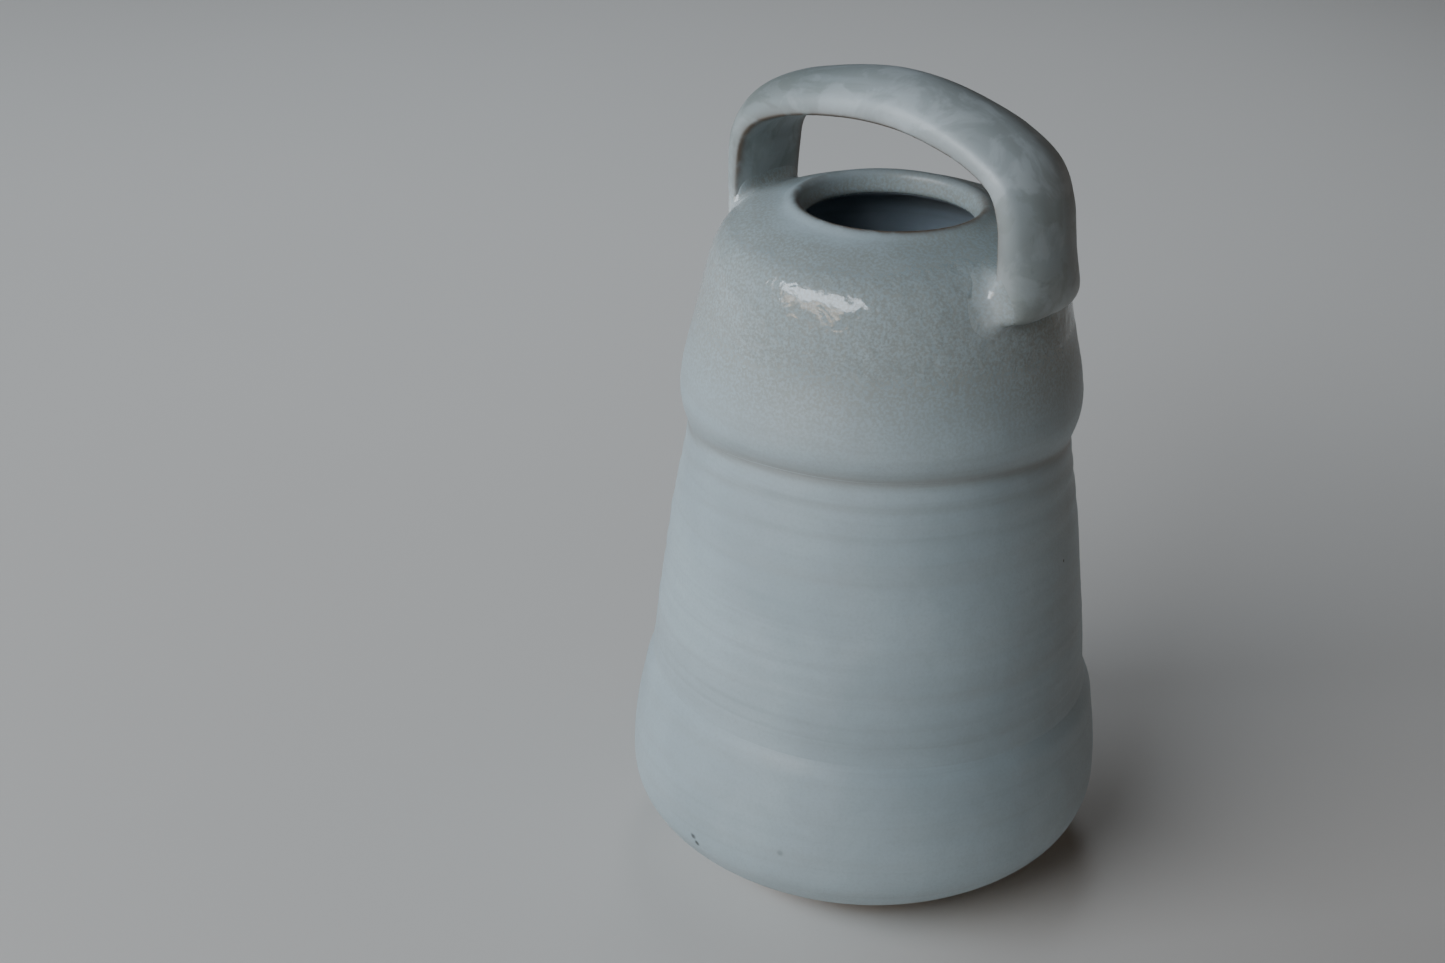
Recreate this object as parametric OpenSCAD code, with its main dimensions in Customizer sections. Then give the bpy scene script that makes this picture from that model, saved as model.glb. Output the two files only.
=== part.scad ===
// Stoneware pottery vase: a wheel-thrown jug-shaped body with a basket handle
// pulled as a strap and pressed down on the shoulder.
//
// Frame: +Z is up, the origin is the centre of the foot on the table, and the
// handle arches over the mouth in the XZ plane. All lengths are millimetres.
// Layers, from the inside out: liner glaze, fired clay, outer glaze.

/* [Part] */
// which sub-part to show, or all of them together

/* [Body] */
// height of the lip above the table
body_height = 190; // [180:1:200]
// thickness of each coat of glaze
glaze = 0.4; // [0.3:0.1:0.8]
// height at which the outer glaze stops above the foot
glaze_line = 3.4; // [2.5:0.1:5]
// outer radius of the foot ring
foot_radius = 34.5; // [30:0.5:38]
// width of the foot ring
foot_width = 5; // [3:0.5:8]
// depth of the hollow inside the foot ring
foot_recess = 2; // [1:0.5:3]
// thickness of the floor from the foot recess to the liner
floor_height = 8; // [7:0.5:10]

/* [Mouth] */
// radius of the crest of the lip
lip_radius = 23.6; // [21:0.1:26]
// radius of the throat, the narrowest part of the mouth
throat_radius = 21.1; // [19:0.1:22]
// depth of the throat below the crest of the lip
throat_depth = 5; // [4:0.1:6]

/* [Handle] */
// width of the strap at the top of the arch
strap_width = 25.7; // [22:0.1:28]
// height of the strap's domed outer side above its edges
strap_dome = 7.6; // [6:0.1:9]
// depth of the strap's flat inner side below its edges
strap_flat = 2.4; // [2:0.1:3]
// height of the slip fillets round the feet
luting_height = 4; // [3:0.5:6]
// how far the slip fillets stand out from the strap where they meet the shoulder
luting_flare = 2.2; // [1:0.1:3]

/* [Hidden] */

clay_colour = [0.47, 0.40, 0.33];
glaze_colour = [0.74, 0.78, 0.79];
liner_colour = [0.30, 0.33, 0.37];
slip_colour = [0.85, 0.87, 0.87];

// number of sides of the shapes that the feet are cut to
shoulder_sides = 96;
// number of points round the strap's section
section_points = 24;
// how full the two sides of the strap's section are: 1 is an ellipse, less is squarer
dome_fullness = 1;
flat_fullness = 0.5;
// height above which the feet are cut to the shoulder, and the height of one disc of it
shoulder_base = 140;
disc_height = 0.01;
// gap that keeps the cut feet clear of the shoulder's true circle
shoulder_clearance = 0.02;
throat_height = body_height - throat_depth;

// ---- curves ----

// one point of a Catmull-Rom curve, t running 0 to 1 from b to c
function curve_point(a, b, c, d, t) =
    0.5 * (2 * b + (c - a) * t + (2 * a - 5 * b + 4 * c - d) * t * t
        + (3 * b - a - 3 * c + d) * t * t * t);

// a smooth curve through the points, with the given number of steps between neighbours
function smooth(p, steps) = concat(
    [for (i = [0 : len(p) - 2]) for (k = [0 : steps - 1])
        curve_point(p[max(i - 1, 0)], p[i], p[i + 1], p[min(i + 2, len(p) - 1)], k / steps)],
    [p[len(p) - 1]]);

// unit tangent of a curve at point i, taken from its neighbours
function tangent(p, i) =
    let (d = p[min(i + 1, len(p) - 1)] - p[max(i - 1, 0)], v = [d[0], d[1]])
    v / norm(v);

// the curve moved to its left-hand side by a distance
function shifted(p, distance) =
    [for (i = [0 : len(p) - 1])
        let (t = tangent(p, i)) [max(p[i][0] - t[1] * distance, 0), p[i][1] + t[0] * distance]];

function reversed(p) = [for (i = [len(p) - 1 : -1 : 0]) p[i]];

function part_of(p, first, last) = [for (i = [first : last]) p[i]];

// ---- the thrown body ----

// outside of the glazed body, from the glaze line up to the foot of the lip
outside = [
    [40.2, glaze_line],
    [47.2, 7.9],
    [54.2, 12.7],
    [60.0, 18.0],
    [63.2, 24.0],
    [63.7, 31.0],
    [63.0, 41.0],
    [61.2, 51.0],
    [59.0, 58.5],
    [58.1, 66.0],
    [57.0, 77.0],
    [55.4, 90.0],
    [53.9, 103.0],
    [52.3, 113.0],
    [51.3, 119.5],
    [50.4, 125.5],
    [49.8, 129.5],
    [49.8, 131.3],
    [50.6, 133.6],
    [51.7, 136.8],
    [52.2, 141.5],
    [50.9, 149.0],
    [48.6, 158.5],
    [46.8, 167.0],
    [45.1, 174.5],
    [43.0, 180.0],
    [40.0, 183.2],
    [35.0, 185.7],
    [30.0, 187.4],
    [26.8, 188.5],
];

// the lip, from the shoulder over the crest and down its rounded inner slope to the throat
lip = concat(
    [[lip_radius + 1.8, body_height - 0.7], [lip_radius + 1, body_height - 0.2]],
    [for (a = [90 : 15 : 180])
        [throat_radius + (lip_radius - throat_radius) * (1 + cos(a)),
            throat_height + throat_depth * sin(a)]]);

// inside of the glazed body, from below the throat down to the middle of the floor
inside = [
    [21.6, 183.9],
    [24.0, 182.3],
    [30.0, 180.6],
    [35.6, 177.6],
    [39.0, 171.0],
    [42.2, 159.0],
    [44.9, 149.0],
    [46.0, 141.0],
    [45.2, 133.0],
    [44.6, 126.5],
    [46.2, 116.0],
    [48.6, 100.0],
    [50.6, 84.0],
    [52.4, 66.0],
    [54.4, 55.0],
    [57.2, 41.0],
    [57.9, 31.0],
    [56.4, 23.5],
    [50.0, 15.4],
    [40.0, 10.2],
    [30.0, floor_height],
    [0, floor_height],
];

outer_face = concat(smooth(outside, 2), lip);
glazed_face = concat(outer_face, inside);
clay_face = shifted(glazed_face, glaze);
lip_end = len(outer_face) - 1;
face_end = len(glazed_face) - 1;

// foot ring and the hollow inside it, from the middle out to the glaze line
foot = [
    [0, foot_recess],
    [foot_radius - foot_width - 1.5, foot_recess],
    [foot_radius - foot_width, 0],
    [foot_radius, 0],
    [foot_radius + 1.1, 0.7],
];

module vessel_body() {
    color(clay_colour)
        rotate_extrude($fn = shoulder_sides)
            polygon(concat(foot, clay_face));
}

module liner_glaze() {
    color(liner_colour)
        rotate_extrude($fn = shoulder_sides)
            polygon(concat(part_of(glazed_face, lip_end, face_end),
                reversed(part_of(clay_face, lip_end, face_end))));
}

module outer_glaze() {
    color(glaze_colour)
        rotate_extrude($fn = shoulder_sides)
            polygon(concat(part_of(glazed_face, 0, lip_end),
                reversed(part_of(clay_face, 0, lip_end))));
}

// ---- the handle ----

// middle line of the strap from the right foot over the arch to the left foot:
// x, z, width factor, thickness factor
strap_line = [
    [43.4, 173.4, 0.970, 0.70],
    [43.8, 175.8, 1.030, 1.00],
    [44.0, 179.2, 1.050, 1.11],
    [44.1, 184.4, 1.045, 1.05],
    [43.7, 190.8, 1.040, 0.98],
    [42.7, 198.6, 1.035, 0.94],
    [39.3, 205.7, 1.025, 0.94],
    [30.8, 210.6, 1.015, 0.98],
    [20.6, 213.3, 1.010, 1.04],
    [10.1, 214.7, 1.000, 1.08],
    [-1.0, 214.7, 1.000, 1.09],
    [-10.7, 213.6, 1.000, 1.07],
    [-20.1, 211.7, 1.000, 1.05],
    [-29.0, 209.0, 1.000, 1.04],
    [-36.8, 204.9, 0.995, 1.00],
    [-41.3, 198.7, 0.980, 0.90],
    [-42.4, 191.0, 0.965, 0.79],
    [-42.7, 183.8, 0.950, 0.72],
    [-42.5, 178.4, 0.940, 0.70],
    [-42.0, 175.0, 0.900, 0.58],
];
strap_path = smooth(strap_line, 2);

// one point of the strap's outline at station i: k runs round the section, from +Y
// over the domed outer side, and grow moves the outline outwards
function strap_point(i, k, grow) =
    let (
        p = strap_path[i],
        t = tangent(strap_path, i),
        a = 360 * k / section_points,
        domed = sin(a) > 0,
        fullness = domed ? dome_fullness : flat_fullness,
        across = pow(abs(cos(a)), fullness) * sign(cos(a)),
        outward = pow(abs(sin(a)), fullness) * sign(sin(a)),
        height = (domed ? strap_dome : strap_flat) * p[3],
        rise = outward * (height + grow)
    )
    [p[0] + t[1] * rise, across * (strap_width * p[2] / 2 + grow), p[1] - t[0] * rise];

// the strap between two path stations, grown by an amount
module strap_run(first, last, grow) {
    n = section_points;
    rings = last - first;
    sides = [for (i = [0 : rings - 1]) for (k = [0 : n - 1])
        let (a = i * n + k, b = i * n + (k + 1) % n) each [[a, b, b + n], [a, b + n, a + n]]];
    start_cap = [for (k = [n - 1 : -1 : 0]) k];
    end_cap = [for (k = [0 : n - 1]) rings * n + k];
    polyhedron(
        points = [for (i = [first : last]) for (k = [0 : n - 1]) strap_point(i, k, grow)],
        faces = concat(sides, [start_cap, end_cap]));
}

// a level disc of the shoulder at one point of its outline
module shoulder_disc(p) {
    translate([0, 0, p[1]])
        cylinder(h = disc_height, r = p[0], $fn = shoulder_sides);
}

// the shoulder as a solid grown by an amount, which the feet are cut to
module shoulder_solid(grow) {
    edge = [for (p = shifted(outer_face, -grow)) if (p[1] > shoulder_base) p];
    top = len(edge) - len(lip) - 1;
    for (i = [0 : top - 1])
        hull() {
            shoulder_disc(edge[i]);
            shoulder_disc(edge[i + 1]);
        }
}

// stations of the strap, counted from its end, between which a foot's fillet runs
fillet_first = 1;
fillet_last = 8;
path_end = len(strap_path) - 1;

// the slip pressed round a foot, as three layers that step outwards to the shoulder
module slip_layers(first, last) {
    for (layer = [1 : 3])
        intersection() {
            strap_run(first, last, luting_flare * layer / 3);
            shoulder_solid(luting_height / 3 * (4 - layer) / layer);
        }
}

// the slip fillet of one foot, hollowed for the strap and cut to the shoulder
module luting(first, last) {
    color(slip_colour)
        difference() {
            slip_layers(first, last);
            strap_run(0, path_end, 0);
            shoulder_solid(shoulder_clearance);
        }
}

module right_luting() {
    luting(fillet_first, fillet_last);
}

module left_luting() {
    luting(path_end - fillet_last, path_end - fillet_first);
}

module handle_strap() {
    color(clay_colour)
        difference() {
            strap_run(0, path_end, 0);
            shoulder_solid(shoulder_clearance);
        }
}

module handle_glaze() {
    color(glaze_colour)
        difference() {
            strap_run(0, path_end, glaze);
            strap_run(0, path_end, 0);
            shoulder_solid(luting_height);
        }
}

vessel_body();
liner_glaze();
outer_glaze();
handle_strap();
handle_glaze();
left_luting();
right_luting();
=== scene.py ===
"""Stoneware pottery vase with a basket handle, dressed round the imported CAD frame.

The body's outline is measured from the frame's own solids, then given the rings, wobble
and creases of hand throwing. The handle is a pulled strap whose feet are blended into
the shoulder by slip fillets. Lengths in names ending _MM are millimetres; the scene is
in metres, +Z up, with the handle arching over the mouth in the XZ plane.
"""

import math

import bpy
import numpy as np
from mathutils import Matrix, Vector
from mathutils.bvhtree import BVHTree


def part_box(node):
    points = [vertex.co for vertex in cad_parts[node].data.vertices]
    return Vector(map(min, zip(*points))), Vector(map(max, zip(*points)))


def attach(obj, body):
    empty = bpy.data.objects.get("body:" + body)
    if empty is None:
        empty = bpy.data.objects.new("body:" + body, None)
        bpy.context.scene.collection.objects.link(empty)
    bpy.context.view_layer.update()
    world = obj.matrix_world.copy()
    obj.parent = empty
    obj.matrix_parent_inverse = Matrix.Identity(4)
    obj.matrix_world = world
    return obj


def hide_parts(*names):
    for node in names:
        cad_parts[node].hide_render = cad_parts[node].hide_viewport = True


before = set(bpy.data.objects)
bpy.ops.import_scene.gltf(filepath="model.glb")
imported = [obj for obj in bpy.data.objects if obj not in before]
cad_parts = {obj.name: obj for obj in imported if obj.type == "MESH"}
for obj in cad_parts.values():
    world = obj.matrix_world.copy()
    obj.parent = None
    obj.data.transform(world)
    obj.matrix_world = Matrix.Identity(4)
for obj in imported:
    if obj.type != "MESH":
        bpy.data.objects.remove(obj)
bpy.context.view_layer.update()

MM = 0.001
BODY_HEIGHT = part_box("outer_glaze")[1].z

# ---- the camera, as the photograph was taken ----

LENS_MM = 61.1
CAMERA_TURN = math.radians(38.0)
CAMERA_BACK = 3.063 * BODY_HEIGHT
CAMERA_UP = 2.127 * BODY_HEIGHT
CAMERA_TILT = math.radians(26.9)
CAMERA_YAW = math.radians(4.02)
CAMERA_ROLL = math.radians(1.17)


def make_camera():
    """A camera standing CAMERA_TURN round from the front, yawed to set the vase right of centre."""
    data = bpy.data.cameras.new("camera")
    data.lens = LENS_MM
    data.sensor_width = 36.0
    camera = bpy.data.objects.new("camera", data)
    bpy.context.scene.collection.objects.link(camera)
    heading = CAMERA_TURN + CAMERA_YAW
    forward = Vector((
        -math.sin(heading) * math.cos(CAMERA_TILT),
        math.cos(heading) * math.cos(CAMERA_TILT),
        -math.sin(CAMERA_TILT)))
    level_right = forward.cross(Vector((0, 0, 1))).normalized()
    level_up = level_right.cross(forward)
    turn, lift = math.cos(CAMERA_ROLL), math.sin(CAMERA_ROLL)
    right = level_right * turn + level_up * lift
    up = level_up * turn - level_right * lift
    place = Vector((
        math.sin(CAMERA_TURN) * CAMERA_BACK,
        -math.cos(CAMERA_TURN) * CAMERA_BACK,
        CAMERA_UP))
    columns = Matrix((right, up, -forward)).transposed().to_4x4()
    camera.matrix_world = Matrix.Translation(place) @ columns
    bpy.context.scene.camera = camera


# ---- meshes from grids ----

def new_object(name, points, faces):
    """A smooth-shaded mesh object from points in millimetres."""
    mesh = bpy.data.meshes.new(name)
    mesh.from_pydata([tuple(p) for p in np.asarray(points) * MM], [], faces)
    mesh.validate()
    mesh.polygons.foreach_set("use_smooth", [True] * len(mesh.polygons))
    thing = bpy.data.objects.new(name, mesh)
    bpy.context.scene.collection.objects.link(thing)
    return thing


def grid_faces(rows, columns, wrap_rows=False):
    """Quads of a grid whose points are numbered row by row, and whose rows are rings."""
    faces = []
    last_row = rows if wrap_rows else rows - 1
    for i in range(last_row):
        for k in range(columns):
            a = i * columns + k
            b = i * columns + (k + 1) % columns
            c = ((i + 1) % rows) * columns + (k + 1) % columns
            d = ((i + 1) % rows) * columns + k
            faces.append((a, b, c, d))
    return faces


def paint(thing, name, values):
    """Stores one number per vertex for the material to read."""
    layer = thing.data.attributes.new(name, "FLOAT", "POINT")
    layer.data.foreach_set("value", np.clip(values, 0.0, 1.0).astype(np.float32))


def smoothstep(low, high, x):
    """0 below low, 1 above high, with an easy rise between."""
    t = np.clip((x - low) / (high - low), 0.0, 1.0)
    return t * t * (3.0 - 2.0 * t)


def bump_at(x, centre, width):
    """1 at the centre, falling off as a bell."""
    return np.exp(-0.5 * ((x - centre) / width) ** 2)


# ---- the outline, measured from the frame ----

SPINE_MM = 95.0          # height of the point on the axis that the measuring rays pass through
REACH_MM = 300.0         # how far out the rays start
MEASURE_TURN = math.radians(90.0)
MEASURE_ANGLES = np.radians(np.linspace(-89.9, 89.0, 1400))


def cad_tree(node):
    """A search tree over one CAD node, in millimetres."""
    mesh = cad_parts[node].data
    corners = [v.co / MM for v in mesh.vertices]
    return BVHTree.FromPolygons(corners, [tuple(p.vertices) for p in mesh.polygons])


def measured_outline(node, outer):
    """(r, z) points of a CAD skin's visible side, by rays in one plane through the axis."""
    tree = cad_tree(node)
    spine = Vector((0, 0, SPINE_MM))
    points = []
    for angle in MEASURE_ANGLES:
        across = math.cos(angle)
        way = Vector((across * math.cos(MEASURE_TURN), across * math.sin(MEASURE_TURN), math.sin(angle)))
        if outer:
            hit = tree.ray_cast(spine + way * REACH_MM, -way, REACH_MM)[0]
        else:
            hit = tree.ray_cast(spine, way, REACH_MM)[0]
        if hit is not None:
            points.append((math.hypot(hit.x, hit.y), hit.z))
    return np.array(points)


def arc_lengths(points):
    """How far along a curve each of its points is."""
    return np.concatenate([[0.0], np.cumsum(np.linalg.norm(np.diff(points, axis=0), axis=1))])


def resampled(points, spacing):
    """The same curve with evenly spaced points."""
    s = arc_lengths(points)
    n = max(int(round(s[-1] / spacing)), 8) + 1
    at = np.linspace(0, s[-1], n)
    return np.stack([np.interp(at, s, points[:, i]) for i in range(2)], axis=1)


def softened(points, reach):
    """The curve with its facets smoothed away over a reach given per point, ends kept."""
    s = arc_lengths(points)
    weight = np.exp(-0.5 * ((s[:, None] - s[None]) / reach[:, None]) ** 2)
    edge = np.minimum(s, s[-1] - s)
    # near an end each point is averaged only over an even reach, so that the ends stay put
    weight = np.where(np.abs(s[:, None] - s[None]) <= edge[:, None] + 1e-6, weight, 0.0)
    return weight @ points / weight.sum(axis=1, keepdims=True)


def outline_normals(points):
    """Unit normals, to the right of the way the outline runs."""
    d = np.gradient(points, axis=0)
    d /= np.linalg.norm(d, axis=1, keepdims=True)
    return np.stack([d[:, 1], -d[:, 0]], axis=1)


# ---- what the potter's hands did to the clay ----

ROUND_TURN = math.radians(70.0)      # the way the body is widest
FRONT_TURN = math.radians(-52.0)     # the side where the crease under the bulge sits highest
MOUTH_TURN = math.radians(38.0)      # the way the mouth is widest
CREASE_MM = 134.8                    # height of the crease in front
CREASE_DIP_MM = 6.3                  # how much lower it is at the two sides
CREASE_REACH_MM = 9.5                # how far above and below the crease its neighbours move with it
NOTCH_MM = 130.6                     # height of the crease in the frame's own outline
FLARE_MM = 57.6                      # height at which the wall flares out into the belly
MOUTH_OVAL_MM = 0.5                  # how far the mouth is out of round


def crease_height(theta):
    """Height of the crease under the upper bulge, which dips at the two sides of the view."""
    dip = np.sin(theta - FRONT_TURN) ** 4
    return CREASE_MM - CREASE_DIP_MM * dip + 0.3 * np.sin(theta + 0.5)


def flare_height(theta):
    """Height of the step where the wall flares out into the belly."""
    return FLARE_MM - 1.6 * np.sin(theta + 0.9)


def hand_marks(theta, z):
    """Height of the throwing rings and grooves over the smooth outline, in millimetres."""
    spiral = theta / (2 * math.pi)
    sway = 0.35 * np.sin(theta + 0.9) + 0.25 * np.sin(2 * theta + 2.1)
    rings = (
        0.42 * np.sin(2 * math.pi * (z / 8.7 + spiral) + sway)
        + 0.33 * np.sin(2 * math.pi * (z / 5.3 + spiral) + 1.7 + 1.4 * sway)
        + 0.25 * np.sin(2 * math.pi * (z / 3.1 + 2 * spiral) + 0.4 - sway))
    strength = (
        0.05
        + 0.13 * smoothstep(58, 72, z) * (1 - smoothstep(118, 130, z))
        + 0.05 * smoothstep(134, 140, z) * (1 - smoothstep(150, 165, z)))
    fading = 0.6 + 0.4 * np.sin(theta - 0.4 + z / 23.0)
    marks = rings * strength * fading
    marks += -0.22 * bump_at(z, NOTCH_MM + 0.3, 1.1) + 0.22 * bump_at(z, NOTCH_MM - 2.8, 1.5)
    marks += 0.12 * bump_at(z, 121.4, 1.4) - 0.16 * bump_at(z, 118.4, 1.1)
    marks += 0.10 * bump_at(z, 113.0, 1.6) - 0.10 * bump_at(z, 109.5, 1.4)
    flare = flare_height(theta)
    marks += 0.45 * bump_at(z, flare - 3.5, 2.5) - 0.50 * bump_at(z, flare + 3.5, 2.5)
    marks += 0.06 * bump_at(z, 172.0 + np.sin(theta * 2), 1.2)
    return marks * smoothstep(4.0, 12.0, z) * (1 - smoothstep(178.0, 186.0, z))


def thrown(r, theta, z):
    """A point of the wheel's perfect round, moved as the soft clay moved."""
    z = z + (crease_height(theta) - NOTCH_MM) * bump_at(z, NOTCH_MM, CREASE_REACH_MM)
    oval = 0.22 * np.cos(2 * (theta - ROUND_TURN)) + 0.10 * np.cos(3 * theta + 1.0)
    share = smoothstep(0.0, 30.0, r) * smoothstep(2.0, 40.0, z)
    r = r + oval * share
    top = smoothstep(178.0, 190.0, z)
    z = z + top * (0.22 * np.cos(theta + 1.2) + 0.12 * np.cos(2 * theta))
    r = r + top * (MOUTH_OVAL_MM * np.cos(2 * (theta - MOUTH_TURN)) + 0.10 * np.sin(3 * theta + 0.5))
    return np.stack([r * np.cos(theta), r * np.sin(theta), z], axis=-1)


def body_turns(count):
    """Angles round the body, closer together where the handle's feet land."""
    even = np.linspace(0, 2 * math.pi, count, endpoint=False)
    return even - 0.22 * np.sin(2 * even)


def turned(rows, turns, height=None):
    """Grid of points from (r, z) rows; height adds a normal displacement in millimetres."""
    r = np.broadcast_to(rows[:, 0][:, None], (len(rows), len(turns))).copy()
    z = np.broadcast_to(rows[:, 1][:, None], (len(rows), len(turns))).copy()
    theta = np.broadcast_to(turns[None], r.shape)
    if height is not None:
        normal = outline_normals(rows)
        h = height(theta, z)
        r = r + normal[:, 0][:, None] * h
        z = z + normal[:, 1][:, None] * h
    return thrown(np.maximum(r, 0.0), theta, z)


def fan_closed(name, rings, first_point, last_point):
    """A tube of rings whose two ends are closed by fans round a point each."""
    rows, columns = rings.shape[:2]
    points = np.concatenate([rings.reshape(-1, 3), [first_point], [last_point]])
    faces = grid_faces(rows, columns)
    first, last = len(points) - 2, len(points) - 1
    base = (rows - 1) * columns
    for k in range(columns):
        after = (k + 1) % columns
        faces.append((first, after, k))
        faces.append((last, base + k, base + after))
    return new_object(name, points, faces)


def revolved(name, grid, closed_loop):
    """A mesh of revolution. An open profile starts and ends on the axis, at one point each."""
    rows, columns = grid.shape[:2]
    if closed_loop:
        return new_object(name, grid.reshape(-1, 3), grid_faces(rows, columns, wrap_rows=True))
    return fan_closed(name, grid[1:-1], grid[0].mean(axis=0), grid[-1].mean(axis=0))


# ---- the body's three layers ----

BODY_TURNS = 296          # points round the body
ROW_MM = 0.85             # distance between rows
LIP_ROW_MM = 0.32
LINER_ROW_MM = 2.0
BACK_EVERY = 6            # the hidden back of the outer glaze keeps one row in so many
CLAY_EVERY = 3            # and the clay one point in so many
GLAZE_MM = 0.45           # thickness of the two glaze skins
FEATHER_DEPTH = 0.88      # how far the glaze thins to nothing at its lower edge, as a share
FEATHER_MM = 2.2          # the height over which it does
HIDDEN_CLAY_MM = 0.75     # how deep the clay's face lies under the glazed face
FOOT_RADIUS_MM = 34.5
FOOT_WIDTH_MM = 5.0
FOOT_RECESS_MM = 2.0
SEAM_MM = 1.6             # how far under the throat the two glazes meet, out of sight


def full_outline():
    """Glaze line, over the lip, down the inside to the middle of the floor."""
    outside = measured_outline("outer_glaze", True)
    inside = measured_outline("liner_glaze", False)[::-1]
    joined = resampled(np.concatenate([outside, inside]), 0.3)
    crest = joined[:, 1].argmax()
    s = arc_lengths(joined)
    reach = 0.55 + 1.3 * smoothstep(5.0, 16.0, np.abs(s - s[crest]))
    reach = reach - 0.2 * bump_at(joined[:, 1], NOTCH_MM, 4.0)
    return softened(joined, reach)


def split_outline(outline):
    """The outline's outer stretch, up to the narrowest point of the throat, and its inner one."""
    near_top = outline[:, 1] > BODY_HEIGHT / MM - 6
    throat = np.where(near_top, outline[:, 0], 1e9).argmin()
    s = arc_lengths(outline)
    seam = np.searchsorted(s, s[throat] + SEAM_MM)
    return outline[:seam + 1], outline[seam:]


def respaced(points, near, near_spacing, spacing, reach):
    """Rows along a curve, closer together around the arc length near."""
    s = arc_lengths(points)
    step = spacing + (near_spacing - spacing) * np.exp(-0.5 * ((s - near) / reach) ** 2)
    count = np.concatenate([[0.0], np.cumsum(np.diff(s) / step[1:])])
    n = int(round(count[-1])) + 1
    at = np.interp(np.linspace(0, count[-1], n), count, s)
    return np.stack([np.interp(at, s, points[:, i]) for i in range(2)], axis=1)


def inset(rows, depth):
    """The rows moved into the wall by a depth, or by one depth for each."""
    return rows - outline_normals(rows) * np.broadcast_to(depth, len(rows))[:, None]


def make_outer_glaze(outer):
    """The glaze skin from its feathered lower edge over the lip, closed by a coarser back."""
    crest = arc_lengths(outer)[outer[:, 1].argmax()]
    rows = respaced(outer, crest, LIP_ROW_MM, ROW_MM, 7.0)
    feather = FEATHER_DEPTH * GLAZE_MM * (1 - smoothstep(0.0, FEATHER_MM, arc_lengths(rows)))
    skin = turned(inset(rows, feather), body_turns(BODY_TURNS), hand_marks)
    back_rows = inset(rows, GLAZE_MM)[::-BACK_EVERY]
    back = turned(back_rows[1:-1], body_turns(BODY_TURNS), hand_marks)
    return revolved("glazed_body", np.concatenate([skin, back]), True)


def inner_marks(theta, z):
    """Finger rings inside, wider than the ones outside."""
    spiral = theta / (2 * math.pi)
    wide = 0.25 * np.sin(2 * math.pi * (z / 11.0 + spiral))
    narrow = 0.15 * np.sin(2 * math.pi * (z / 6.1 + spiral))
    return (wide + narrow) * smoothstep(16, 30, z) * (1 - smoothstep(165, 180, z))


def make_liner(inner):
    """The glaze inside, from the seam in the throat down to the middle of the floor."""
    rows = respaced(inner, 0.0, LIP_ROW_MM, LINER_ROW_MM, 6.0)
    skin = turned(rows, body_turns(BODY_TURNS // 2), inner_marks)
    back = turned(inset(rows, GLAZE_MM)[::-1], body_turns(BODY_TURNS // 2), inner_marks)
    return revolved("glazed_inside", np.concatenate([skin[::-1], back[::-1][1:]])[:, ::-1], False)


def foot_rows():
    """The bare foot ring and its recess, from the middle of the base outwards."""
    inner = FOOT_RADIUS_MM - FOOT_WIDTH_MM
    rows = [(0.0, FOOT_RECESS_MM), (inner * 0.5, FOOT_RECESS_MM), (inner - 3.2, FOOT_RECESS_MM)]
    rows += [(inner - 1.9, FOOT_RECESS_MM - 0.15), (inner - 0.9, FOOT_RECESS_MM * 0.45)]
    rows += [(inner - 0.2, 0.2), (inner + 0.6, 0.0), (FOOT_RADIUS_MM - 1.0, 0.0)]
    rows += [(FOOT_RADIUS_MM - 0.2, 0.2), (FOOT_RADIUS_MM + 0.5, 0.55), (FOOT_RADIUS_MM + 1.5, 0.8)]
    return resampled(np.array(rows), 0.7)


def make_clay(outer, inner):
    """The clay under both glazes, with the foot ring left bare."""
    coarse = outer[::CLAY_EVERY]
    depth = GLAZE_MM + (HIDDEN_CLAY_MM - GLAZE_MM) * smoothstep(2.5, 6.0, arc_lengths(coarse))
    wall = respaced(inset(coarse, depth), 0.0, 0.7, 2.6, 8.0)
    inside = respaced(inset(inner, HIDDEN_CLAY_MM), 0.0, 0.8, 3.0, 5.0)
    rows = np.concatenate([foot_rows(), wall, inside[1:]])
    return revolved("thrown_clay", turned(rows, body_turns(BODY_TURNS // 2)), False)


# ---- the pulled strap ----

STRAP_TURNS = 80         # points round the section
STRAP_STEP_MM = 0.9      # distance between sections
STRAP_WIDTH_MM = 25.7
DOME_MM = 7.6            # rise of the outer side over the middle line
FLAT_MM = 2.4            # the same for the inner side
DOME_FULLNESS = 1.0      # 1 is an ellipse, less is squarer
FLAT_FULLNESS = 0.5
END_ROUND_MM = 0.9
EDGE_TURNS = (math.radians(204), math.radians(336))    # where the flat side's corners are
EDGE_WIDTH = 0.24        # width of the brown line along them, in radians round the section
PRESSED_MM = 15.0        # length of the right foot that was pressed flatter with the thumb
PRESSED_FULLNESS = 0.62

# middle line of the strap, right foot to left foot: x, z, width factor, thickness factor
STRAP_LINE = (
    (43.4, 173.4, 0.970, 0.70),
    (43.8, 175.8, 1.030, 1.00),
    (44.0, 179.2, 1.050, 1.11),
    (44.1, 184.4, 1.045, 1.05),
    (43.7, 190.8, 1.040, 0.98),
    (42.7, 198.6, 1.035, 0.94),
    (39.3, 205.7, 1.025, 0.94),
    (30.8, 210.6, 1.015, 0.98),
    (20.6, 213.3, 1.010, 1.04),
    (10.1, 214.7, 1.000, 1.08),
    (-1.0, 214.7, 1.000, 1.09),
    (-10.7, 213.6, 1.000, 1.07),
    (-20.1, 211.7, 1.000, 1.05),
    (-29.0, 209.0, 1.000, 1.04),
    (-36.8, 204.9, 0.995, 1.00),
    (-41.3, 198.7, 0.980, 0.90),
    (-42.4, 191.0, 0.965, 0.79),
    (-42.7, 183.8, 0.950, 0.72),
    (-42.5, 178.4, 0.940, 0.70),
    (-42.0, 175.0, 0.900, 0.58),
)


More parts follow.
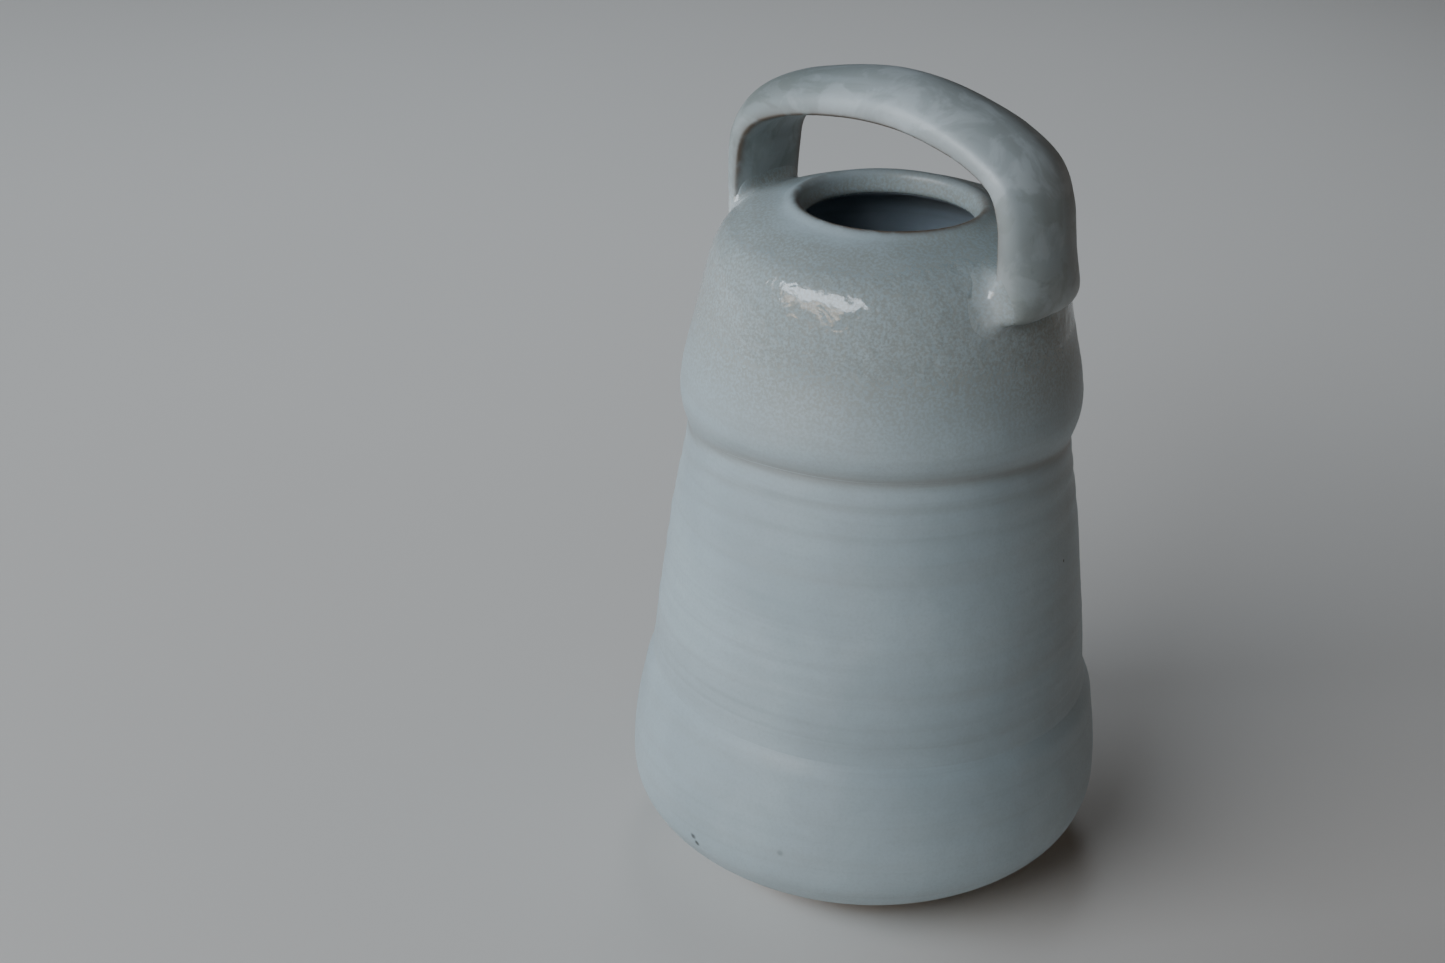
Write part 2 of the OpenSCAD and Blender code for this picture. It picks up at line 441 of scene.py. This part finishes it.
def smooth_curve(points, steps):
    """A Catmull-Rom curve through the points."""
    p = np.asarray(points, float)
    p = np.concatenate([[2 * p[0] - p[1]], p, [2 * p[-1] - p[-2]]])
    out = []
    for i in range(1, len(p) - 2):
        a, b, c, d = p[i - 1:i + 3]
        for t in np.arange(steps) / steps:
            out.append(0.5 * (2 * b + (c - a) * t + (2 * a - 5 * b + 4 * c - d) * t ** 2
                              + (3 * b - a - 3 * c + d) * t ** 3))
    out.append(p[-2])
    return np.array(out)


def strap_stations():
    """Evenly spaced rows of x, z, width and thickness factor, and how far along each one is."""
    fine = smooth_curve(STRAP_LINE, 24)
    s = arc_lengths(fine[:, :2])
    n = int(s[-1] / STRAP_STEP_MM) + 1
    at = np.linspace(0, s[-1], n)
    stations = np.stack([np.interp(at, s, fine[:, i]) for i in range(4)], axis=1)
    return stations, at


def strap_grid():
    """Points of the strap's surface and how near each is to one of its two edges."""
    stations, s = strap_stations()
    way = np.gradient(stations[:, :2], axis=0)
    way /= np.linalg.norm(way, axis=1, keepdims=True)
    outward = np.stack([way[:, 1], -way[:, 0]], axis=1)
    turn = np.linspace(0, 2 * math.pi, STRAP_TURNS, endpoint=False)
    cos, sin = np.cos(turn), np.sin(turn)
    domed = sin > 0
    pressed = 1 - smoothstep(1.0, PRESSED_MM, s)
    dome_fullness = DOME_FULLNESS + (PRESSED_FULLNESS - DOME_FULLNESS) * pressed
    fullness = np.where(domed[None], dome_fullness[:, None], FLAT_FULLNESS)
    across = np.sign(cos) * np.abs(cos) ** fullness
    rise = np.sign(sin) * np.abs(sin) ** fullness
    length = s[-1]
    end = np.minimum(s, length - s)
    shrink = END_ROUND_MM - np.sqrt(np.clip(END_ROUND_MM ** 2 - (END_ROUND_MM - end) ** 2, 0, None))
    shrink = np.where(end < END_ROUND_MM, shrink, 0.0)
    pull = 0.25 * np.sin(s / 17.0 + 0.8) + 0.15 * np.sin(s / 7.3 + 2.0)
    half = STRAP_WIDTH_MM * stations[:, 2] / 2 + pull - shrink
    drift = 0.45 + 0.3 * np.sin(s / length * 2 * math.pi + 0.6)
    dome = DOME_MM * stations[:, 3] * (1 + 0.03 * np.sin(s / 9.1)) - shrink
    flat = FLAT_MM * stations[:, 3] - 0.6 * shrink
    height = np.where(domed[None], dome[:, None], flat[:, None]) * rise
    # long pulling lines left along the strap by wet fingers
    lines = 0.10 * np.sin(5 * turn + 0.6)[None] + 0.05 * np.sin(9 * turn + 2.0)[None]
    height = height + lines * np.where(domed, 1.0, 0.4)[None] * (0.6 + 0.4 * np.sin(s / 21.0)[:, None])
    y = across * half[:, None] + drift[:, None]
    x = stations[:, 0][:, None] + outward[:, 0][:, None] * height
    z = stations[:, 1][:, None] + outward[:, 1][:, None] * height
    # the thin brown edges are the two corners of the flat side
    corner = np.min([np.abs(turn - edge_turn) for edge_turn in EDGE_TURNS], axis=0)
    edge = np.broadcast_to(bump_at(corner, 0.0, EDGE_WIDTH)[None], x.shape)
    # counted the other way round so that the faces look outwards
    return np.stack([x, y, z], axis=-1)[:, ::-1], edge[:, ::-1]


# ---- slip fillets at the feet ----

FILLET_TURNS = 120       # points round the foot
FILLET_ROWS = 15         # points from strap to body
OVERRUN = 1.22           # how far the fillet runs on under the surfaces, as a share of its reach
DIVE = 0.30              # how steeply it dives under them
BODY_SPREAD = 1.2        # how much further it spreads over the body than up the strap
FILLET_STEPS = np.linspace(-OVERRUN, OVERRUN, FILLET_ROWS)
FILLET_CORE_MM = -0.8    # depth of the fillet's hidden side under both surfaces
SEARCH_MM = 30.0         # farthest a foot's rim can be from its middle
SEARCH_STEP_MM = 0.5
SEARCH_HALVINGS = 12
SETTLE_ROUNDS = 7
SETTLE_STEP_MM = 1.5     # longest move in one round
MOST_ALIKE = 0.93        # cosine at which two surfaces count as too parallel to solve for
MEDIAN_REACH = 3         # neighbouring turns on each side that the median looks at
SMOOTH_ROUNDS = 4


class Surface:
    """Signed distance from a closed mesh, in millimetres, with the way outwards."""

    def __init__(self, thing):
        mesh = thing.data
        corners = [v.co / MM for v in mesh.vertices]
        self.tree = BVHTree.FromPolygons(corners, [tuple(p.vertices) for p in mesh.polygons])

    def nearest(self, point):
        return np.array(self.tree.find_nearest(Vector(point))[0])

    def measure(self, point):
        place, normal, _, distance = self.tree.find_nearest(Vector(point))
        normal = np.array(normal)
        away = np.asarray(point) - np.array(place)
        if distance < 1e-3:
            return 0.0, normal
        sign = 1.0 if away @ normal > 0 else -1.0
        return sign * distance, sign * away / distance


def fillet_start(body, strap, centre, up_slope, turn):
    """Where a line over the body, leaving the foot's middle at a turn, comes out of the strap."""
    sideways = np.array([0.0, 1.0, 0.0])
    way = math.cos(turn) * up_slope + math.sin(turn) * sideways
    near, far = SEARCH_STEP_MM, SEARCH_MM
    for reach in np.arange(SEARCH_STEP_MM, SEARCH_MM, SEARCH_STEP_MM):
        if strap.measure(body.nearest(centre + way * reach))[0] > 0:
            far = reach
            break
        near = reach
    for _ in range(SEARCH_HALVINGS):
        middle = (near + far) / 2
        if strap.measure(body.nearest(centre + way * middle))[0] > 0:
            far = middle
        else:
            near = middle
    return body.nearest(centre + way * far)


def settle(point, body, strap, from_strap, from_body):
    """Moves a point until it is at the wanted distances from strap and body."""
    p = np.array(point, float)
    for _ in range(SETTLE_ROUNDS):
        a, ga = strap.measure(p)
        b, gb = body.measure(p)
        c = float(np.clip(ga @ gb, -MOST_ALIKE, MOST_ALIKE))
        miss = np.array([from_strap - a, from_body - b])
        alpha, beta = np.linalg.solve(np.array([[1, c], [c, 1]]), miss)
        step = alpha * ga + beta * gb
        size = np.linalg.norm(step)
        p = p + step * min(1.0, SETTLE_STEP_MM / max(size, 1e-9))
    return p


def fillet_targets(reach):
    """Distances (from strap, from body) along a fillet that leaves each surface smoothly."""
    targets = []
    for u in FILLET_STEPS:
        inside = max(1 - abs(u), 0.0)
        outside = max(abs(u) - 1, 0.0)
        low = reach * (inside ** 2 / 4 - DIVE * outside)
        high = reach * (inside ** 2 / 4 + abs(u))
        targets.append((BODY_SPREAD * high, low) if u > 0 else (low, high))
    return targets


def make_fillet(name, body, strap, foot, reach_of):
    """A closed bead of slip round one foot; reach_of(turn) says how far it spreads."""
    foot_x, foot_z = foot
    centre = body.nearest((foot_x, 0.0, foot_z))
    normal = body.measure(centre + np.array([np.sign(foot_x) * 0.5, 0, 0.5]))[1]
    up_slope = np.cross(np.array([0.0, 1.0, 0.0]), normal)
    up_slope *= np.sign(up_slope[2]) / np.linalg.norm(up_slope)
    rows = [[] for _ in range(FILLET_ROWS + 1)]
    turns = np.linspace(0, 2 * math.pi, FILLET_TURNS, endpoint=False)
    for turn in turns:
        start = fillet_start(body, strap, centre, up_slope, turn)
        point = start
        for i, (a, b) in enumerate(fillet_targets(reach_of(turn))):
            point = settle(point, body, strap, a, b)
            rows[i].append(point)
        rows[FILLET_ROWS].append(settle(start, body, strap, FILLET_CORE_MM, FILLET_CORE_MM))
    grid = np.array(rows)
    # a median over neighbouring turns drops the odd point that settled astray
    neighbours = range(-MEDIAN_REACH, MEDIAN_REACH + 1)
    grid = np.median([np.roll(grid, k, axis=1) for k in neighbours], axis=0)
    for _ in range(SMOOTH_ROUNDS):
        grid = 0.5 * grid + 0.25 * (np.roll(grid, 1, axis=1) + np.roll(grid, -1, axis=1))
    # smoothing pulled the edges off the surfaces they should touch, so they are put back
    for k, turn in enumerate(turns):
        targets = fillet_targets(reach_of(turn))
        for i, u in enumerate(FILLET_STEPS):
            if abs(u) <= 1:
                surface = body if u > 0 else strap
                apart, way = surface.measure(grid[i, k])
                grid[i, k] += way * (min(targets[i]) - apart)
    # on the left the rows run the other way, so that the faces look outwards there too
    if foot_x < 0:
        grid = grid[::-1]
    return new_object(name, grid.reshape(-1, 3), grid_faces(len(grid), FILLET_TURNS, wrap_rows=True))


RIGHT_FOOT_MM = (45.0, 178.5)     # x and z in the middle of each foot
LEFT_FOOT_MM = (-43.5, 179.5)


def right_reach(turn):
    """Wide on the inside and round the sides, tight under the strap's end."""
    up = 0.5 + 0.5 * math.cos(turn)
    return 0.5 + 6.0 * smoothstep(0.13, 0.40, up)


def left_reach(turn):
    """The same for the thinner leg, where less slip was used."""
    up = 0.5 + 0.5 * math.cos(turn)
    return 0.8 + 3.6 * smoothstep(0.10, 0.50, up)


# ---- materials ----

class Nodes:
    """A short way to write a material's node tree."""

    def __init__(self, name):
        self.material = bpy.data.materials.new(name)
        self.material.use_nodes = True
        self.tree = self.material.node_tree
        self.shader = self.tree.nodes["Principled BSDF"]

    def add(self, kind, inputs=None, **settings):
        node = self.tree.nodes.new(kind)
        for key, value in settings.items():
            setattr(node, key, value)
        for key, value in (inputs or {}).items():
            self.put(value, node.inputs[key])
        return node

    def put(self, value, socket):
        if isinstance(value, bpy.types.NodeSocket):
            self.tree.links.new(value, socket)
        else:
            socket.default_value = value

    def math(self, operation, a, b=0.0, clamp=False):
        node = self.add("ShaderNodeMath", {0: a, 1: b}, operation=operation, use_clamp=clamp)
        return node.outputs[0]

    def ramp(self, value, low, high, from_value=0.0, to_value=1.0):
        """Goes from one value to another as the input goes from low to high."""
        ends = {"From Min": low, "From Max": high, "To Min": from_value, "To Max": to_value}
        node = self.add("ShaderNodeMapRange", {"Value": value, **ends}, interpolation_type="SMOOTHSTEP")
        return node.outputs[0]

    def band(self, value, low, low_soft, high_soft, high):
        """1 between two values, fading to 0 outside them."""
        rise = self.ramp(value, low, low_soft)
        fall = self.ramp(value, high_soft, high, 1.0, 0.0)
        return self.math("MULTIPLY", rise, fall)

    def mix(self, share, a, b):
        node = self.add("ShaderNodeMix", data_type="RGBA")
        self.put(share, node.inputs[0])
        self.put(a, node.inputs[6])
        self.put(b, node.inputs[7])
        return node.outputs[2]

    def place(self, scale=(1, 1, 1)):
        coordinates = self.add("ShaderNodeTexCoord").outputs["Object"]
        return self.add("ShaderNodeMapping", {"Vector": coordinates, "Scale": scale}).outputs[0]

    def noise(self, scale, detail=3.0, rough=0.55, vector=None, distortion=0.0):
        inputs = {"Scale": scale, "Detail": detail, "Roughness": rough, "Distortion": distortion}
        inputs["Vector"] = vector if vector is not None else self.place()
        return self.add("ShaderNodeTexNoise", inputs).outputs["Fac"]

    def attribute(self, name):
        return self.add("ShaderNodeAttribute", attribute_name=name).outputs["Fac"]

    def relief(self, height, strength, distance):
        """Bumps the surface by a height field."""
        bump = self.add("ShaderNodeBump", {"Height": height, "Strength": strength, "Distance": distance})
        self.put(bump.outputs[0], self.shader.inputs["Normal"])


MILK = (0.366, 0.453, 0.490, 1)
CLOUD = (0.430, 0.526, 0.564, 1)
WHITE = (0.530, 0.600, 0.625, 1)
SLATE = (0.290, 0.335, 0.352, 1)
CELADON = (0.330, 0.362, 0.345, 1)
WARM_GREY = (0.335, 0.355, 0.345, 1)
SAGE = (0.270, 0.305, 0.300, 1)
SAGE_DARK = (0.185, 0.212, 0.190, 1)
SAGE_MILK = (0.325, 0.385, 0.402, 1)
# painted shade for the creases, brownish like the glaze there
SHADE = (0.185, 0.165, 0.135, 1)
IRON = (0.130, 0.085, 0.050, 1)
SPECK = (0.030, 0.025, 0.020, 1)
POOL = (0.640, 0.700, 0.720, 1)
LINER_LOW = (0.34, 0.40, 0.45, 1)
LINER_HIGH = (0.44, 0.50, 0.55, 1)
CLAY_LOW = (0.27, 0.20, 0.14, 1)
CLAY_HIGH = (0.40, 0.31, 0.22, 1)
GROG = (0.20, 0.15, 0.10, 1)
GLAZE_IOR = 1.68

# heights in metres between which the shoulder's glaze is glassy, and thin: low edge, its end,
# start of the high edge, high edge
GLASSY_BAND = (0.160, 0.172, 0.187, 0.1925)
THIN_BAND = (0.142, 0.168, 0.1925, 0.1960)
MILKY_ARCH_X = (-0.030, 0.006, 0.042, 0.056)     # the same along the handle, for its milky stretch
HEIGHT_DRIFT = 0.012                             # how far those heights wander


def specks(n, scale, size):
    """Sparse dots where iron in the clay came through."""
    cells = n.add("ShaderNodeTexVoronoi", {"Vector": n.place(), "Scale": scale, "Randomness": 1.0})
    near = n.ramp(cells.outputs["Distance"], size * 0.5, size, 1.0, 0.0)
    colour = n.add("ShaderNodeSeparateXYZ", {0: cells.outputs["Color"]})
    chosen = n.ramp(colour.outputs[0], 0.93, 0.94)
    return n.math("MULTIPLY", near, chosen)


# burnt-through iron spots low on the front: place in metres, and strength
SPOTS = (
    ((-0.0059, -0.0632, 0.0258), 0.80),
    ((-0.0047, -0.0629, 0.0240), 0.85),
    ((0.0216, -0.0598, 0.0322), 0.30),
)
SPOT_RADIUS = 0.0009


def spots(n, roughen):
    """The few larger spots, each with a ragged edge."""
    share = 0.0
    for place, strength in SPOTS:
        distance = n.add("ShaderNodeVectorMath", {0: n.place(), 1: place}, operation="DISTANCE")
        away = n.math("ADD", distance.outputs["Value"], n.math("MULTIPLY", roughen, SPOT_RADIUS))
        share = n.math("ADD", n.ramp(away, 0.9 * SPOT_RADIUS, 1.8 * SPOT_RADIUS, strength, 0.0), share)
    return share


def banded(n, colour, bands, mottle):
    """Darker streaks round the body, narrow and wide, and a fine mottle."""
    wide_bands = n.noise(1.0, 2.0, 0.5, n.place((4, 4, 110)))
    colour = n.mix(n.math("MULTIPLY", n.ramp(bands, 0.50, 0.75), 0.22), colour, SLATE)
    colour = n.mix(n.math("MULTIPLY", n.ramp(wide_bands, 0.48, 0.72), 0.22), colour, WARM_GREY)
    return n.mix(n.math("MULTIPLY", n.ramp(mottle, 0.40, 0.72), 0.20), colour, SLATE)


def clouded(n, colour, x, z, cloudiness):
    """Sage patches and white puffs, and the milky stretch over the right half of the handle."""
    patches = n.ramp(n.noise(1.0, 4.0, 0.62, n.place((34, 120, 80)), 0.6), 0.47, 0.56)
    colour = n.mix(n.math("MULTIPLY", patches, 0.72 * cloudiness), colour, SAGE_DARK)
    milky_arch = n.math("MULTIPLY", n.band(x, *MILKY_ARCH_X), n.ramp(z, 0.186, 0.208))
    puffs = n.ramp(n.noise(75.0, 4.0, 0.60, distortion=0.6), 0.48, 0.60)
    puffs = n.math("MULTIPLY", puffs, n.ramp(milky_arch, 0.0, 1.0, 0.45, 1.0))
    colour = n.mix(n.math("MULTIPLY", milky_arch, 0.7 * cloudiness), colour, WHITE)
    return n.mix(n.math("MULTIPLY", puffs, cloudiness), colour, WHITE)


def thinned(n, colour, drifted, mottle, shoulder_share):
    """The shoulder, where the glaze is thin enough for its green and its grain to show."""
    thin = n.math("MULTIPLY", n.band(drifted, *THIN_BAND), shoulder_share)
    return n.mix(n.math("MULTIPLY", thin, n.ramp(mottle, 0.36, 0.62, 0.15, 1.0)), colour, CELADON)


def shade_wear_and_pools(n, colour, bands, pool):
    """What was painted on the mesh: painted shade at the creases, worn edges and pools of slip."""
    # painted shade, broken up by the bands
    painted_shade = n.math("MULTIPLY", n.attribute("painted_shade"), n.ramp(bands, 0.30, 0.60, 0.6, 1.0))
    colour = n.mix(painted_shade, colour, SHADE)
    ragged = n.ramp(n.noise(210.0, 3.0), 0.28, 0.50, 0.5, 1.0)
    breaking = n.math("MULTIPLY", n.attribute("worn"), ragged, clamp=True)
    colour = n.mix(breaking, colour, IRON)
    uneven = n.ramp(n.noise(150.0, 3.0), 0.30, 0.60, 0.5, 1.0)
    return n.mix(n.math("MULTIPLY", pool, uneven), colour, POOL)


def glaze_material(name, shoulder_share, cloudiness, low=MILK, high=CLOUD):
    """Satin milky glaze over iron-bearing stoneware, thin and glassy where it runs off.

    shoulder_share says how strongly the shoulder's thin, glassy band shows, and cloudiness
    how strongly the handle's patches and puffs do. low and high are its two milky colours.
    """
    n = Nodes(name)
    x, _, z = n.add("ShaderNodeSeparateXYZ", {0: n.place()}).outputs
    cloud = n.noise(24.0, 3.0, 0.5, distortion=0.3)
    bands = n.noise(1.0, 4.0, 0.65, n.place((7, 7, 420)))
    mottle = n.noise(1350.0, 3.0, 0.6)
    grain = n.noise(2300.0, 2.0, 0.6)
    pool = n.attribute("pool")
    drifted = n.math("ADD", z, n.math("MULTIPLY", cloud, HEIGHT_DRIFT))
    glassy = n.math("MULTIPLY", n.band(drifted, *GLASSY_BAND), shoulder_share)

    colour = n.mix(n.ramp(cloud, 0.32, 0.70), low, high)
    colour = banded(n, colour, bands, mottle)
    colour = clouded(n, colour, x, z, cloudiness)
    colour = thinned(n, colour, drifted, mottle, shoulder_share)
    colour = shade_wear_and_pools(n, colour, bands, pool)
    colour = n.mix(n.math("MULTIPLY", n.ramp(grain, 0.66, 0.78), 0.18), colour, IRON)
    colour = n.mix(specks(n, 95.0, 0.050), colour, SPECK)
    colour = n.mix(spots(n, mottle), colour, SPECK)
    n.put(colour, n.shader.inputs["Base Color"])

    rough = n.ramp(mottle, 0.3, 0.7, 0.36, 0.46)
    rough = n.math("SUBTRACT", rough, n.math("MULTIPLY", glassy, 0.26))
    rough = n.math("SUBTRACT", rough, n.math("MULTIPLY", pool, 0.14))
    n.put(rough, n.shader.inputs["Roughness"])
    n.shader.inputs["IOR"].default_value = GLAZE_IOR

    peel = n.noise(250.0, 2.0, 0.5, distortion=0.4)
    waves = n.math("MULTIPLY", peel, n.ramp(glassy, 0.2, 0.8, 0.6, 4.6))
    height = n.math("ADD", waves, n.math("MULTIPLY", grain, 0.08))
    height = n.math("ADD", height, n.math("MULTIPLY", bands, 0.5))
    n.relief(height, 0.22, 0.00035)
    return n.material


def liner_material():
    """The bluer glaze inside, with the marks of its pouring."""
    n = Nodes("liner_glaze")
    cloud = n.noise(40.0, 4.0, 0.6)
    bands = n.noise(1.0, 3.0, 0.6, n.place((9, 9, 240)))
    colour = n.mix(n.ramp(cloud, 0.35, 0.7), LINER_LOW, LINER_HIGH)
    colour = n.mix(n.math("MULTIPLY", n.ramp(bands, 0.45, 0.7), 0.4), colour, SLATE)
    n.put(colour, n.shader.inputs["Base Color"])
    n.put(n.ramp(cloud, 0.3, 0.7, 0.34, 0.50), n.shader.inputs["Roughness"])
    n.relief(bands, 0.25, 0.0004)
    return n.material


def clay_material():
    """Toasted stoneware with grog, bare at the foot."""
    n = Nodes("fired_clay")
    grog = n.noise(700.0, 4.0, 0.65)
    toast = n.noise(45.0, 3.0, 0.5)
    colour = n.mix(n.ramp(toast, 0.3, 0.7), CLAY_LOW, CLAY_HIGH)
    colour = n.mix(n.math("MULTIPLY", n.ramp(grog, 0.40, 0.65), 0.5), colour, GROG)
    colour = n.mix(specks(n, 260.0, 0.12), colour, SPECK)
    n.put(colour, n.shader.inputs["Base Color"])
    n.put(n.ramp(grog, 0.3, 0.7, 0.78, 0.92), n.shader.inputs["Roughness"])
    n.relief(grog, 0.5, 0.0004)
    return n.material


def give(piece, material, slot, *nodes):
    """A piece's material, body and the CAD nodes it stands for. slot is not used."""
    piece.data.materials.clear()
    piece.data.materials.append(material)
    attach(piece, "root")
    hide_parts(*nodes)


# ---- paint that follows the shape ----

POOL_REACH_MM = 3.2       # how fast the pools at the joints fade


def vertex_points(thing):
    """An object's vertices in millimetres."""
    co = np.empty(len(thing.data.vertices) * 3)
    thing.data.vertices.foreach_get("co", co)
    return co.reshape(-1, 3) / MM


def distance_field(points, surface, limit):
    """Distance to a surface, only worked out near it."""
    out = np.full(len(points), limit)
    for i, p in enumerate(points):
        hit = surface.tree.find_nearest(Vector(p), limit)
        if hit[0] is not None:
            out[i] = hit[3]
    return out


def near_joint(points, body, strap):
    """1 at the handle joints, fading away along body and strap."""
    feet = (points[:, 2] > 150) & (points[:, 2] < 200) & (np.abs(points[:, 0]) > 20)
    out = np.zeros(len(points))
    chosen = points[feet]
    limit = 6 * POOL_REACH_MM
    total = distance_field(chosen, body, limit) + distance_field(chosen, strap, limit)
    at_sides = smoothstep(3.0, 11.0, np.abs(chosen[:, 1]))
    above_end = 1 - smoothstep(43.5, 46.5, np.abs(chosen[:, 0]))
    out[feet] = np.exp(-total / POOL_REACH_MM) * at_sides * (0.25 + 0.75 * above_end)
    return out


LIP_EDGE_MM = 23.3       # radius of the brown line round the mouth


def lip_wear(points):
    """The crest of the lip, where the outer glaze breaks brown, mostly on the front side."""
    r = np.hypot(points[:, 0], points[:, 1])
    theta = np.arctan2(points[:, 1], points[:, 0])
    edge = LIP_EDGE_MM + MOUTH_OVAL_MM * np.cos(2 * (theta - MOUTH_TURN))
    front = 0.5 + 0.5 * np.cos(theta - FRONT_TURN)
    line = (0.25 + 0.75 * front) * bump_at(r, edge, 1.0)
    return line * smoothstep(187.5, 189.0, points[:, 2])


def painted_body_shade(points):
    """Painted shade in the crease under the upper bulge and over the overhang just above it, partly the
    brownish glaze of the crease; two faint darker streaks below it; and painted shade in a band above
    the belly's flare.
    """
    z = points[:, 2]
    theta = np.arctan2(points[:, 1], points[:, 0])
    low = crease_height(theta)
    in_front = 0.5 + 0.5 * np.cos(theta - FRONT_TURN)
    # painted shade in the crease and on the overhang above it
    crease = 0.44 * bump_at(z, low, 1.0) + 0.22 * bump_at(z, low + 1.4, 2.2)
    streaks = 0.22 * bump_at(z, low - 6.8, 0.9) * in_front + 0.10 * bump_at(z, low - 15.0, 0.8)
    # painted shade above the flare step, deepening its relief
    shade_above_flare = 0.11 * bump_at(z, flare_height(theta) + 7.5, 3.5)
    return crease + streaks + shade_above_flare


# ---- putting the vase together ----

def build_vase():
    """Meshes first, then paint and materials, then what each piece stands for."""
    outline = full_outline()
    outer, inner = split_outline(outline)
    body = make_outer_glaze(outer)
    inside = make_liner(inner)
    clay = make_clay(outer, inner)
    grid, edge = strap_grid()
    strap = fan_closed("glazed_handle", grid, grid[0].mean(axis=0), grid[-1].mean(axis=0))
    body_surface, strap_surface = Surface(body), Surface(strap)
    right = make_fillet("right_slip", body_surface, strap_surface, RIGHT_FOOT_MM, right_reach)
    left = make_fillet("left_slip", body_surface, strap_surface, LEFT_FOOT_MM, left_reach)

    glaze = glaze_material("outer_glaze", 1.0, 0.06)
    handle_glaze = glaze_material("handle_glaze", 0.3, 0.60, SAGE, SAGE_MILK)
    for piece in (body, strap, left, right):
        points = vertex_points(piece)
        paint(piece, "pool", near_joint(points, body_surface, strap_surface))
    paint(body, "worn", lip_wear(vertex_points(body)))
    # painted shade at the crease and above the flare
    paint(body, "painted_shade", painted_body_shade(vertex_points(body)))
    paint(strap, "worn", np.concatenate([0.95 * edge.reshape(-1), np.zeros(2)]))

    give(body, glaze, "outer_glaze", "outer_glaze")
    give(inside, liner_material(), "liner_glaze", "liner_glaze")
    give(clay, clay_material(), "fired_clay", "vessel_body")
    give(strap, handle_glaze, "outer_glaze", "handle_glaze", "handle_strap")
    give(left, glaze, "pooled_glaze", "left_luting")
    give(right, glaze, "pooled_glaze", "right_luting")


# ---- the plain studio ----

FLOOR_RADIUS = 1.6
FLOOR_LOW = (0.66, 0.64, 0.61, 1)
FLOOR_HIGH = (0.70, 0.68, 0.65, 1)
HORIZON = (0.125, 0.123, 0.120, 1)       # the backdrop beyond the floor's edge
OVERHEAD = (0.013, 0.011, 0.009, 1)
HORIZON_RISE = 0.02                      # how high, from 0 to 1, the backdrop starts to darken
OVERHEAD_RISE = 0.17                     # and how high it has
DAYLIGHT = (0.83, 0.91, 1.0)
SKYLIGHT = (0.80, 0.90, 1.0)
CARD_GLOW = (1.0, 0.74, 0.50)
LAMPLIGHT = (1.0, 0.66, 0.42)

# name, turn from the camera and lift in degrees, distance, width, height, watts, colour,
# and whether it shows as a highlight
SOFT_LIGHTS = (
    ("window", -45, 32, 1.3, 1.25, 0.40, 13.0, DAYLIGHT, True),
    ("warm_card", -45, 17, 1.3, 0.9, 0.14, 1.8, CARD_GLOW, True),
    ("pale_wall", -108, 10, 1.6, 1.3, 0.50, 12.0, DAYLIGHT, False),
    ("room", 100, 30, 1.6, 1.0, 0.5, 0.9, LAMPLIGHT, False),
)
AIM_SHARE = 0.6          # the height the soft lights aim at, as a share of the body's

# the lamp over the floor beyond the vase
LAMP_OUT = 0.62
LAMP_HEIGHT = 1.3
LAMP_POWER = 24.0
LAMP_SPREAD = math.radians(64)
LAMP_RADIUS = 0.2


def make_floor():
    """A round pale floor, level with the foot."""
    turns = np.linspace(0, 2 * math.pi, 96, endpoint=False)
    rim = np.stack([np.cos(turns), np.sin(turns), 0 * turns], axis=1) * FLOOR_RADIUS / MM
    floor = new_object("floor", rim, [tuple(range(len(turns)))])
    n = Nodes("floor")
    n.put(n.mix(n.noise(3.0), FLOOR_LOW, FLOOR_HIGH), n.shader.inputs["Base Color"])
    n.shader.inputs["Roughness"].default_value = 0.6
    floor.data.materials.append(n.material)


def soft_light(name, turn, lift, distance, width, height, power, colour, glossy):
    """An area light aimed at the vase from a turn round it and a lift above the floor, in degrees."""
    data = bpy.data.lights.new(name, "AREA")
    data.shape = "RECTANGLE"
    data.size = width
    data.size_y = height
    data.energy = power
    data.color = colour
    light = bpy.data.objects.new(name, data)
    bpy.context.scene.collection.objects.link(light)
    a, e = math.radians(turn), math.radians(lift)
    way = Vector((math.sin(a) * math.cos(e), -math.cos(a) * math.cos(e), math.sin(e)))
    target = Vector((0, 0, BODY_HEIGHT * AIM_SHARE))
    light.location = target + way * distance
    light.rotation_mode = "QUATERNION"
    light.rotation_quaternion = (-way).to_track_quat("-Z", "Y")
    light.visible_glossy = glossy


def floor_lamp(turn):
    """A spot straight down on the floor beyond the vase, so that the floor there stays pale."""
    data = bpy.data.lights.new("floor_lamp", "SPOT")
    data.energy = LAMP_POWER
    data.color = SKYLIGHT
    data.spot_size = LAMP_SPREAD
    data.spot_blend = 1.0
    data.shadow_soft_size = LAMP_RADIUS
    light = bpy.data.objects.new("floor_lamp", data)
    bpy.context.scene.collection.objects.link(light)
    a = math.radians(turn)
    light.location = (math.sin(a) * LAMP_OUT, -math.cos(a) * LAMP_OUT, LAMP_HEIGHT)
    light.visible_glossy = False


def make_lights():
    """Lights placed round the vase by their turn from the camera."""
    view = math.degrees(CAMERA_TURN)
    for name, turn, *rest in SOFT_LIGHTS:
        soft_light(name, view + turn, *rest)
    floor_lamp(view + 180)


def make_world():
    """A plain backdrop, a mid grey at the horizon that darkens overhead."""
    world = bpy.data.worlds.new("studio")
    world.use_nodes = True
    tree = world.node_tree
    way = tree.nodes.new("ShaderNodeTexCoord").outputs["Generated"]
    parts = tree.nodes.new("ShaderNodeSeparateXYZ")
    fade = tree.nodes.new("ShaderNodeValToRGB")
    horizon, overhead = fade.color_ramp.elements
    horizon.color = HORIZON
    horizon.position = HORIZON_RISE
    overhead.color = OVERHEAD
    overhead.position = OVERHEAD_RISE
    tree.links.new(way, parts.inputs[0])
    tree.links.new(parts.outputs[2], fade.inputs[0])
    tree.links.new(fade.outputs[0], tree.nodes["Background"].inputs["Color"])
    bpy.context.scene.world = world


make_camera()
build_vase()
make_floor()
make_lights()
make_world()
